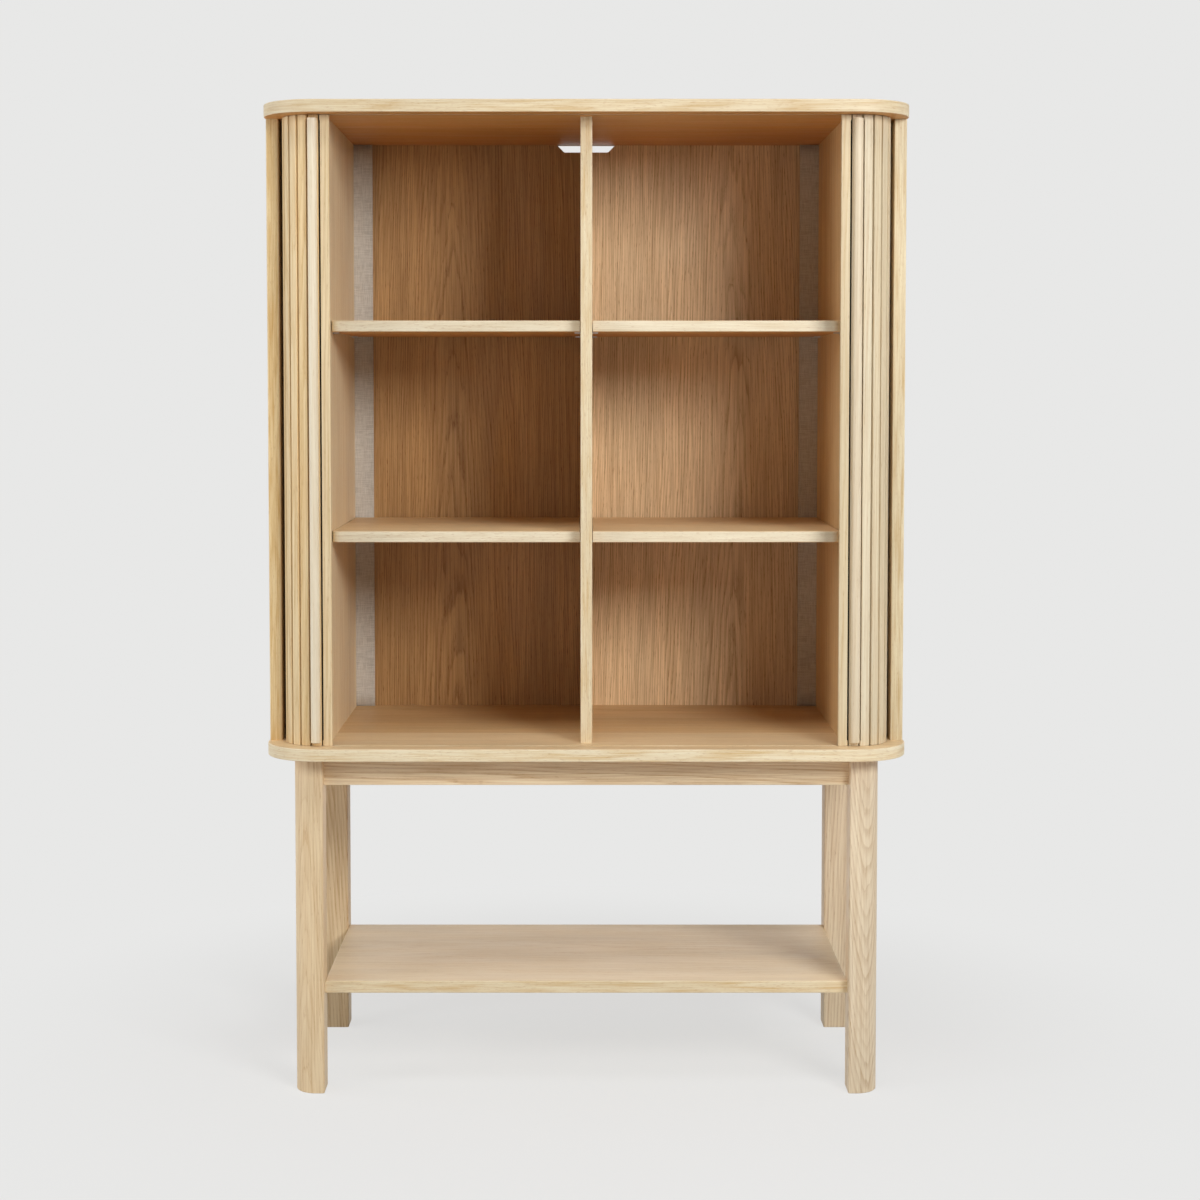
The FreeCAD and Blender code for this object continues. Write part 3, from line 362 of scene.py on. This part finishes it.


# ---------------------------------------------------------------- top and bottom panels
# Veneered boards with a solid oak lipping bent round the two large front corners, arrises broken.
# Each face is two leaves of veneer, joined on a pale hairline that is a painted highlight. The tambour's
# track and the back panel's groove are routed into their inner faces.

PANEL_PALE, PANEL_DEEP = (0.82, 0.61, 0.36), (0.64, 0.43, 0.21)
# Painted shade: the faces that look down are multiplied by this darker, browner colour.
UNDERSIDE_SHADE = (0.80, 0.52, 0.28)
TOP_STRIP = (0.77, 0.65, 0.445), (0.60, 0.42, 0.205)
# Each panel's rear leaf is drawn darker and browner than its front one: painted shade towards the back of the
# bays.
panel_veneers = {
    "top_panel": ((-0.35, -0.32, 1.565), 0.574, 0.05, TOP_STRIP),
    "bottom_panel": ((0.45, -0.32, 0.470), 0.486, 0.14, EDGE_STRIP),
}
for panel, (panel_heart, leaf_width, leaf_shade_spread, panel_strip) in panel_veneers.items():
    panel_oak = oak(f"oak_{panel}", "X", panel_heart, PANEL_PALE, PANEL_DEEP, ring=0.0048, lean=0.018,
                    wander=0.010, figure=0.4, pores=0.35, tone=0.07, board="Z", lip=panel_strip,
                    leaf=leaf_width, spread=leaf_shade_spread, under=UNDERSIDE_SHADE)
    finish_piece(panel, panel_oak)


# ---------------------------------------------------------------- side panels, liners and divider
# Upright veneered boards, lipped with solid oak along their front edges and doweled at both ends.
# The liners stand inside the sides and close the door pockets off from the bays.

SIDE_PALE, SIDE_DEEP = (0.80, 0.61, 0.375), (0.62, 0.41, 0.205)
side_strips = {
    "left": ((0.84, 0.655, 0.37), (0.60, 0.36, 0.115)),
    "right": ((0.79, 0.68, 0.46), (0.60, 0.42, 0.20)),
}
# The left liner's colours are painted paler, as lit, and the right liner's darker, as shaded.
liner_colours_lit_and_shaded = {
    "left": ((0.93, 0.79, 0.55), (0.70, 0.50, 0.28)),
    "right": ((0.84, 0.60, 0.32), (0.52, 0.30, 0.115)),
}
for side, sign in SIDES:
    side_oak = oak(f"oak_side_{side}", "Z", (sign * 0.53, 0.04, 0.6 + sign), SIDE_PALE, SIDE_DEEP,
                   ring=0.0040, lean=0.022, wander=0.008, figure=0.5, pores=0.45, tone=0.08, board="X",
                   lip=side_strips[side])
    finish_piece(f"side_panel_{side}", side_oak)
    liner_pale, liner_deep = liner_colours_lit_and_shaded[side]
    liner_oak = oak(f"oak_liner_{side}", "Z", (sign * 0.62, 0.30, 1.4 * sign), liner_pale, liner_deep,
                    ring=0.0062, lean=0.004, wander=0.003, figure=0.62, pores=0.40, tone=0.06,
                    streaks=0.50, board="X")
    finish_piece(f"pocket_liner_{side}", liner_oak)
divider_oak = oak("oak_divider", "Z", (0.05, 0.45, 0.8), SIDE_PALE, SIDE_DEEP, ring=0.0036, lean=0.010,
                  wander=0.005, figure=0.45, pores=0.35, tone=0.06, board="X")
finish_piece("centre_divider", divider_oak)


# ---------------------------------------------------------------- back panel
# One thin oak-veneered board in a groove all round, with a cable notch in its top edge. Each bay has
# a crown-cut leaf with one tall arched figure in its middle. The left bay's leaf is drawn darker and
# browner, which is painted shade in that bay. The face towards the wall has paler leaves, matched in tone.

BACK_PALE, BACK_DEEP = (0.73, 0.485, 0.245), (0.355, 0.187, 0.067)
back_oak = oak("oak_back", "Z", (-0.697, 0.262, 0.0), BACK_PALE, BACK_DEEP, ring=0.0040, lean=0.028,
               wander=0.010, figure=0.50, pores=0.65, tone=0.12, leaf=0.471, spread=0.20, rear_tone=0.9)
finish_piece("back_panel", back_oak)


# ---------------------------------------------------------------- shelves and their pins
# Four loose veneered shelves with a lipped front edge, the outer front corner rounded off.
# Each lies on four nickel-plated pins with flat tabs, pushed into blind holes.

SHELF_STRIP = (0.855, 0.755, 0.565), (0.71, 0.58, 0.39)
LOWER_SHELVES_Z, UPPER_RISE = 0.80, 0.36
for number, shelf in enumerate(("lower_left", "lower_right", "upper_left", "upper_right")):
    heart_z = LOWER_SHELVES_Z + UPPER_RISE * shelf.startswith("upper") + 0.02 * number
    shelf_heart = (0.7 * number - 1.0, 0.30 - 0.05 * number, heart_z)
    shelf_oak = oak(f"oak_shelf_{shelf}", "X", shelf_heart, PANEL_PALE, PANEL_DEEP, ring=0.0044, lean=0.014,
                    wander=0.008, figure=0.4, pores=0.35, tone=0.06, board="Z", lip=SHELF_STRIP,
                    under=UNDERSIDE_SHADE)
    finish_piece(f"shelf_{shelf}", shelf_oak)
finish_piece("shelf_pins", satin_nickel)


# ---------------------------------------------------------------- tambour slats
# Narrow solid oak slats with bevelled show edges and a tongue at each end that runs in the track. Each
# is sawn from another stick, so no two next to each other have the same grain or tone. On the turns
# the canvas bends at CANVAS_TURN from the centre, and the slats' outer faces stand at SLAT_TURN.

SLAT_PITCH = 0.0145
CANVAS_TURN = 0.046
SLAT_TURN = 0.054
RUN_GAP = 0.0005
slat_colours = {
    "left": ((0.81, 0.62, 0.35), (0.60, 0.375, 0.14)),
    "right": ((0.78, 0.69, 0.51), (0.64, 0.485, 0.29)),
}
stile_colours = {
    "left": ((0.86, 0.70, 0.455), (0.66, 0.46, 0.225)),
    "right": ((0.73, 0.615, 0.415), (0.59, 0.42, 0.215)),
}


def straight_count(axis, start):
    """The number of a slat on a straight run: its distance from the run's start over the pitch."""

    def number(tree, place):
        steps = reckon(tree, "DIVIDE", reckon(tree, "SUBTRACT", split(tree, place)[axis], start), SLAT_PITCH)
        return reckon(tree, "FLOOR", steps)

    return number


def turning_count(centre_x, centre_y):
    """The number of a slat on a turn: its angle round the centre times the canvas's radius over the pitch."""

    def number(tree, place):
        parts = split(tree, place)
        east = reckon(tree, "SUBTRACT", parts["X"], centre_x)
        north = reckon(tree, "SUBTRACT", parts["Y"], centre_y)
        angle = reckon(tree, "ARCTAN2", north, east)
        return reckon(tree, "FLOOR", reckon(tree, "MULTIPLY", angle, CANVAS_TURN / SLAT_PITCH))

    return number


def finish_slats(row, side, seed, count=None):
    """Finish a slat, or a row of slats, in its door's oak; each seed is another stick."""
    pale, deep = (stile_colours if row == "lead_stile" else slat_colours)[side]
    heart = (0.1 * seed, 0.13 * seed, 0.7 * seed)
    slat_oak = oak(f"oak_{row}_{side}", "Z", heart, pale, deep, ring=0.0045, lean=0.02, wander=0.006,
                   figure=0.35, pores=0.35, tone=0.07, count=count)
    finish_piece(f"{row}_{side}", slat_oak)


for side, sign in SIDES:
    low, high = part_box(f"slats_side_run_{side}")
    finish_slats("slats_side_run", side, 3 + sign, straight_count("Y", low.y - RUN_GAP))
    low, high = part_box(f"slats_rear_run_{side}")
    start = low.x - RUN_GAP if sign < 0 else high.x + RUN_GAP
    finish_slats("slats_rear_run", side, 7 + sign, straight_count("X", start))
    for stretch, seed in (("front_turn", 11), ("rear_turn", 17)):
        low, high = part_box(f"slats_{stretch}_{side}")
        centre_x = low.x + SLAT_TURN if sign < 0 else high.x - SLAT_TURN
        centre_y = low.y + SLAT_TURN if stretch == "front_turn" else high.y - SLAT_TURN
        finish_slats(f"slats_{stretch}", side, seed + sign, turning_count(centre_x, centre_y))
    for number, slat in enumerate(("finger_slat", "lead_stile", "handle_slat")):
        finish_slats(slat, side, 23 + 3 * number + sign)


# ---------------------------------------------------------------- pulls
# Full-length half-round pulls in pale oak, glued along the handle slats.
# They are the palest wood of each door: their colour is painted paler with the highlight of their round
# noses.

pull_colours_with_highlight = {
    "left": ((0.86, 0.76, 0.58), (0.74, 0.60, 0.41)),
    "right": ((0.78, 0.67, 0.49), (0.66, 0.51, 0.33)),
}
for side, sign in SIDES:
    pull_pale, pull_deep = pull_colours_with_highlight[side]
    pull_oak = oak(f"oak_pull_{side}", "Z", (sign * 0.47, -0.28, 0.5 + sign), pull_pale, pull_deep,
                   ring=0.0050, lean=0.02, wander=0.006, figure=0.3, pores=0.22, tone=0.04, rough=0.42)
    finish_piece(f"handle_pull_{side}", pull_oak)


# ---------------------------------------------------------------- canvas
# Plain-woven cotton canvas, glued behind the slats and bending with them round both corners. It shows
# as a pale strip in front of the back panel. The strip behind each stile and pull is a nearly black
# cloth, which is painted shade: it makes the gap beside the pull read as a dark line of shadow.

THREAD = 0.0009
CLOTH_THICKNESS = 0.0008
CLOTH_ROWS = 41


def canvas_cloth(name, pale, deep):
    """Plain weave on the cloth's own flat measure: warp and weft rise in turn, like a chessboard.

    Each thread is a half wave across its width; which one lies on top alternates with the product of
    the two long waves. Slubs and a slow blotch take the threads from pale to deep, the holes between
    them are painted darker still as shade, and fine fuzz scatters the light.
    """
    material, tree, shader = new_finish(name)
    flat = add_node(tree, "ShaderNodeUVMap", uv_map="flat").outputs[0]
    parts = split(tree, flat)
    threads, long_waves = [], []
    for axis in "XY":
        turns = reckon(tree, "MULTIPLY", parts[axis], math.pi / THREAD)
        threads.append(reckon(tree, "ABSOLUTE", reckon(tree, "SINE", turns)))
        long_waves.append(reckon(tree, "COSINE", turns))
    warp, weft = threads
    over = scale_between(tree, reckon(tree, "MULTIPLY", *long_waves), -0.3, 0.3)
    height = reckon(tree, "ADD", reckon(tree, "MULTIPLY", over, warp),
                    reckon(tree, "MULTIPLY", reckon(tree, "SUBTRACT", 1.0, over), weft))
    slubs = [grain_noise(tree, flat, grain, 0.0016, 0.02, 3.0) for grain in "YX"]
    blotch = grain_noise(tree, flat, "X", 0.03, 0.04, 4.0)
    # The holes between the threads are painted darker, as shade.
    hole_shade_colour = [0.30 * part for part in deep]
    colour = tint(tree, scale_between(tree, reckon(tree, "ADD", *slubs), 0.75, 1.25), (*pale, 1), (*deep, 1))
    colour = tint(tree, scale_between(tree, blotch, 0.35, 0.70, 0.0, 0.35), colour, (*pale, 1))
    colour = tint(tree, scale_between(tree, height, 0.0, 0.6, 0.28, 0.0), colour, (*hole_shade_colour, 1))
    tree.links.new(colour, shader.inputs["Base Color"])
    tree.links.new(scale_between(tree, blotch, 0.3, 0.7, 0.86, 0.96), shader.inputs["Roughness"])
    shader.inputs["Specular IOR Level"].default_value = 0.15
    shader.inputs["Sheen Weight"].default_value = 0.12
    shader.inputs["Sheen Roughness"].default_value = 0.5
    emboss(tree, shader, height, 0.6, 0.00025)
    return material


door_cloth = canvas_cloth("cotton_canvas", (0.72, 0.67, 0.595), (0.54, 0.49, 0.42))
# Nearly black cloth for the strip behind each stile and pull: painted shade in the gap beside the pull.
shade_cloth = canvas_cloth("painted_shade_canvas", (0.030, 0.026, 0.022), (0.018, 0.016, 0.014))


def hang_cloth(name, path, low_z, high_z, material):
    """A cloth that follows a path in plan: every path point is repeated at even heights, as a grid.

    Its flat measure is the length along the path by the height. It comes back with its width and
    its length.
    """
    path = np.asarray(path)
    steps = np.linalg.norm(np.diff(path, axis=0), axis=1)
    measure = np.concatenate([[0.0], np.cumsum(steps)])
    heights = np.linspace(low_z, high_z, CLOTH_ROWS)
    count = len(path)
    corners = np.column_stack([np.tile(path, (CLOTH_ROWS, 1)), np.repeat(heights, count)])
    first = (np.arange(CLOTH_ROWS - 1)[:, None] * count + np.arange(count - 1)[None, :]).ravel()
    faces = np.column_stack([first, first + 1, first + count + 1, first + count])
    mesh = bpy.data.meshes.new(name)
    mesh.from_pydata(corners, [], faces)
    flat_places = np.column_stack([np.tile(measure, CLOTH_ROWS), np.repeat(heights - low_z, count)])
    flat = mesh.uv_layers.new(name="flat")
    flat.data.foreach_set("uv", flat_places[faces.ravel()].astype(np.float32).ravel())
    mesh.polygons.foreach_set("use_smooth", np.ones(len(faces), bool))
    cloth = bpy.data.objects.new(name, mesh)
    bpy.context.scene.collection.objects.link(cloth)
    wall = cloth.modifiers.new("cloth_thickness", "SOLIDIFY")
    wall.thickness = CLOTH_THICKNESS
    wall.offset = 0.0
    cloth.data.materials.append(material)
    return cloth, float(measure[-1]), high_z - low_z


def quarter(centre, radius, start, stop, points=25):
    """Points on an arc in plan, from start to stop in degrees."""
    angles = np.radians(np.linspace(start, stop, points))
    return np.column_stack([centre[0] + radius * np.cos(angles), centre[1] + radius * np.sin(angles)])


CLOTH_TURN = 0.0454
CLOTH_OUTSIDE = CLOTH_TURN + 0.0005
for side, sign in SIDES:
    low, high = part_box(f"canvas_{side}")
    outer_x, free_end = (low.x, high.x) if sign < 0 else (high.x, low.x)
    side_angle, rear_angle = (180, 90) if sign < 0 else (360, 450)
    turn_x = outer_x - sign * CLOTH_OUTSIDE
    front_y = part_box(f"slats_front_turn_{side}")[0].y + SLAT_TURN
    rear_y = high.y - CLOTH_OUTSIDE
    first_angle = 270 + sign * math.degrees(math.acos(min(1.0, (front_y - low.y) / CLOTH_OUTSIDE)))
    path = np.vstack([
        quarter((turn_x, front_y), CLOTH_TURN, first_angle, side_angle),
        quarter((turn_x, rear_y), CLOTH_TURN, side_angle, rear_angle),
        [(free_end, rear_y + CLOTH_TURN)],
    ])
    cloth, width, length = hang_cloth(f"door_canvas_{side}", path, low.z, high.z, door_cloth)
    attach(cloth, "cabinet")
    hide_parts(f"canvas_{side}")

    low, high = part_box(f"canvas_lead_{side}")
    path = np.column_stack([np.linspace(low.x, high.x, 5), np.full(5, (low.y + high.y) / 2)])
    cloth, width, length = hang_cloth(f"lead_shade_canvas_{side}", path, low.z, high.z, shade_cloth)
    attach(cloth, f"{side}_door_lead")
    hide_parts(f"canvas_lead_{side}")


# ---------------------------------------------------------------- studio
# A pale floor that runs on into a pale room. A soft light to the front right leads, a broad one hangs
# overhead, two fill from the left, and weak ones from the right and the rear reach the other sides.

ROOM_COLOUR = (0.806, 0.806, 0.799, 1)
FLOOR_REACH = 40

floor_mesh = bpy.data.meshes.new("floor")
floor_corners = FLOOR_REACH * np.array([(-1, -1, 0), (1, -1, 0), (1, 1, 0), (-1, 1, 0)])
floor_mesh.from_pydata(floor_corners, [], [(0, 1, 2, 3)])
floor = bpy.data.objects.new("floor", floor_mesh)
bpy.context.scene.collection.objects.link(floor)


def seen_rays(tree):
    """1 where the camera sees the surface, straight or by a reflection, and 0 where it only gives light."""
    rays = add_node(tree, "ShaderNodeLightPath").outputs
    by_reflection = reckon(tree, "MAXIMUM", rays["Is Glossy Ray"], rays["Is Transmission Ray"])
    return reckon(tree, "MAXIMUM", rays["Is Camera Ray"], by_reflection)


def mix_shaders(tree, share, first, second, output_kind):
    """Mix two shaders by a share and put the result out as the surface."""
    mixer = add_node(tree, "ShaderNodeMixShader", {0: share, 1: first.outputs[0], 2: second.outputs[0]})
    add_node(tree, output_kind, {"Surface": mixer.outputs[0]})


def pale_floor():
    """Pale floor that shows the room's colour, mixed with enough plain floor to keep a faint shadow.

    The plain floor's share fades out with the distance from the cabinet, so no edge shows far off.
    """
    material = bpy.data.materials.new("pale_floor")
    material.use_nodes = True
    tree = material.node_tree
    tree.nodes.clear()
    seen = seen_rays(tree)
    floor_colour = tint(tree, seen, (0.72, 0.72, 0.71, 1), (0.98, 0.98, 0.97, 1))
    plain = add_node(tree, "ShaderNodeBsdfDiffuse", {"Color": floor_colour})
    glow = add_node(tree, "ShaderNodeEmission", {"Color": ROOM_COLOUR, "Strength": 1.0})
    place = add_node(tree, "ShaderNodeTexCoord").outputs["Object"]
    away = add_node(tree, "ShaderNodeVectorMath", {0: place}, operation="LENGTH").outputs["Value"]
    glow_share = scale_between(tree, away, 0.50, 1.20, 0.78, 1.0)
    mix_shaders(tree, reckon(tree, "MULTIPLY", seen, glow_share), plain, glow, "ShaderNodeOutputMaterial")
    return material


floor.data.materials.append(pale_floor())

room = bpy.data.worlds.new("room")
bpy.context.scene.world = room
room.use_nodes = True
room_tree = room.node_tree
room_tree.nodes.clear()
room_light = add_node(room_tree, "ShaderNodeBackground", {"Color": (1.0, 0.99, 0.97, 1), "Strength": 0.14})
room_seen = add_node(room_tree, "ShaderNodeBackground", {"Color": ROOM_COLOUR, "Strength": 1.0})
mix_shaders(room_tree, seen_rays(room_tree), room_light, room_seen, "ShaderNodeOutputWorld")


def soft_light(name, place, target, width, height, power):
    """A rectangular soft light at a place, turned to face a target."""
    lamp_data = bpy.data.lights.new(name, "AREA")
    lamp_data.shape = "RECTANGLE"
    lamp_data.size = width
    lamp_data.size_y = height
    lamp_data.energy = power
    lamp = bpy.data.objects.new(name, lamp_data)
    bpy.context.scene.collection.objects.link(lamp)
    aim = np.subtract(target, place)
    sideways = math.atan2(aim[1], aim[0]) - math.pi / 2
    upwards = math.atan2(aim[2], math.hypot(aim[0], aim[1])) + math.pi / 2
    lamp.location = place
    lamp.rotation_euler = (upwards, 0, sideways)


soft_light("side_light", (1.60, -2.76, 2.02), (0.1, 0.2, 1.15), 1.20, 0.9, 64)
soft_light("overhead_light", (-0.3, -1.5, 3.6), (-0.1, -0.1, 0.4), 2.2, 1.0, 28)
soft_light("left_light", (-3.0, -1.6, 1.4), (-0.3, 0, 0.9), 1.2, 2.0, 27)
soft_light("far_left_light", (-3.2, 0.2, 1.2), (-0.3, 0, 0.9), 1.4, 2.0, 20)
soft_light("right_light", (3.1, 0.4, 1.3), (0.3, 0, 0.9), 1.4, 2.0, 9)
soft_light("rear_light", (0.4, 3.6, 1.9), (0, 0, 0.9), 3.0, 1.8, 8)

CAMERA_TILT = 3
camera_data = bpy.data.cameras.new("camera")
camera_data.sensor_width = 36
camera_data.lens = 65.406
camera_data.shift_x = 0.01317
camera_data.shift_y = -0.08418
camera = bpy.data.objects.new("camera", camera_data)
camera.location = (-0.0033, -3.490, 1.087)
camera.rotation_euler = (math.radians(90 - CAMERA_TILT), 0, 0)
bpy.context.scene.collection.objects.link(camera)
bpy.context.scene.camera = camera
bpy.context.scene.view_settings.view_transform = "Standard"
